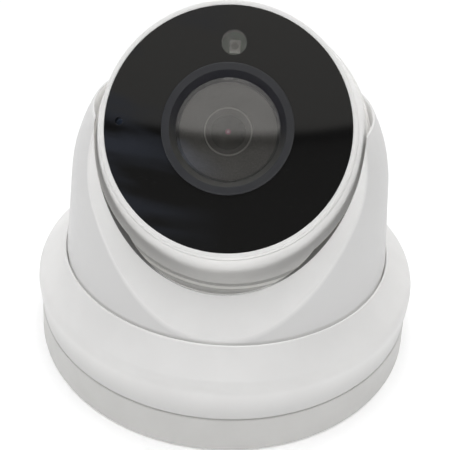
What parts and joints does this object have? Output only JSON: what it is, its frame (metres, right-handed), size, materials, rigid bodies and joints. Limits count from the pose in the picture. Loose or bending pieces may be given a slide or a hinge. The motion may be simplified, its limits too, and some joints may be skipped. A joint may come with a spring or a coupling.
{
  "type": "dome cctv camera",
  "caption": "White turret security camera: round base with twist-on trim ring, panning bell-shaped cover with a scooped opening, and a tilting, rotating eyeball with a glossy black face.",
  "frame": {"origin": "centre of the mounting face, on the pan axis", "axes": "+Z away from the mounting surface along the pan axis; -Y the way the eyeball looks; +X to its right seen from the front"},
  "size_m": [0.1272, 0.1272, 0.1092],
  "materials": {
    "white_plastic": "satin moulded",
    "foam": "closed-cell foam",
    "black_rubber": "matt",
    "nylon": "smooth",
    "steel": "zinc plated",
    "dark_screws": "plated",
    "black_window": "polished",
    "smoked_window": "polished",
    "hood_plastic": "semi-gloss",
    "clear_glass": "polished",
    "baffle": "fine matt",
    "circuit_board": "solder mask",
    "led_package": "ceramic package",
    "black_plastic": "moulded",
    "black_anodised": "anodised",
    "brass": "turned",
    "filter_glass": "coated"
  },
  "bodies": {
    "base": {"base_plate": "white_plastic", "wall_gasket": "foam", "cable_grommet": "black_rubber", "pan_friction_ring": "nylon", "pan_wave_washer": "steel", "pan_retainer": "steel", "pan_retainer_screws": "dark_screws"},
    "trim_ring": {"trim_ring": "white_plastic", "trim_lock_screw": "dark_screws"},
    "turret": {"cover_shell": "white_plastic", "yoke_bracket": "steel", "cover_screws": "dark_screws", "eyeball_seat": "white_plastic", "seat_screws": "dark_screws"},
    "gimbal": {"gimbal_ring": "white_plastic", "tilt_pins": "steel", "tilt_washers": "nylon"},
    "eyeball": {"front_bezel": "white_plastic", "rear_housing": "white_plastic", "housing_seal": "black_rubber", "housing_screws": "dark_screws", "window_seal": "black_rubber", "face_window": "black_window", "sensor_insert": "smoked_window", "lens_hood": "hood_plastic", "hood_glass": "clear_glass", "lens_baffle": "baffle", "ir_led_board": "circuit_board", "ir_leds": "led_package", "light_sensor": "led_package", "microphone": "black_plastic", "lens_barrel": "black_anodised", "front_lens": "clear_glass", "lens_holder": "black_plastic", "image_sensor": "black_plastic", "sensor_board": "circuit_board", "board_pillars": "brass", "main_board": "circuit_board", "processor": "black_plastic", "heat_pad": "foam", "board_screws": "dark_screws", "cable_gland": "black_rubber", "filter_motor": "brass"},
    "ir_cut_filter": {"filter_frame": "black_plastic", "filter_panes": "filter_glass"}
  },
  "joints": [
    {"name": "trim_ring_twist", "type": "hinge", "parent": "base", "child": "trim_ring", "pos_m": [0, 0, 0.0142], "axis": [0, 0, 1], "range_deg": [0, 15]},
    {"name": "pan", "type": "hinge", "parent": "base", "child": "turret", "pos_m": [0, 0, 0.0095], "axis": [0, 0, 1], "range_deg": [-180, 180]},
    {"name": "tilt", "type": "hinge", "parent": "turret", "child": "gimbal", "pos_m": [0, 0, 0.0622], "axis": [-1, 0, 0], "range_deg": [-8, 54]},
    {"name": "eyeball_rotate", "type": "hinge", "parent": "gimbal", "child": "eyeball", "pos_m": [0, 0, 0.0622], "axis": [0, -0.8161, 0.5779], "range_deg": [-180, 180]},
    {"name": "filter_slide", "type": "slide", "parent": "eyeball", "child": "ir_cut_filter", "axis": [-1, 0, 0], "range_m": [0, 0.007]}
  ]
}
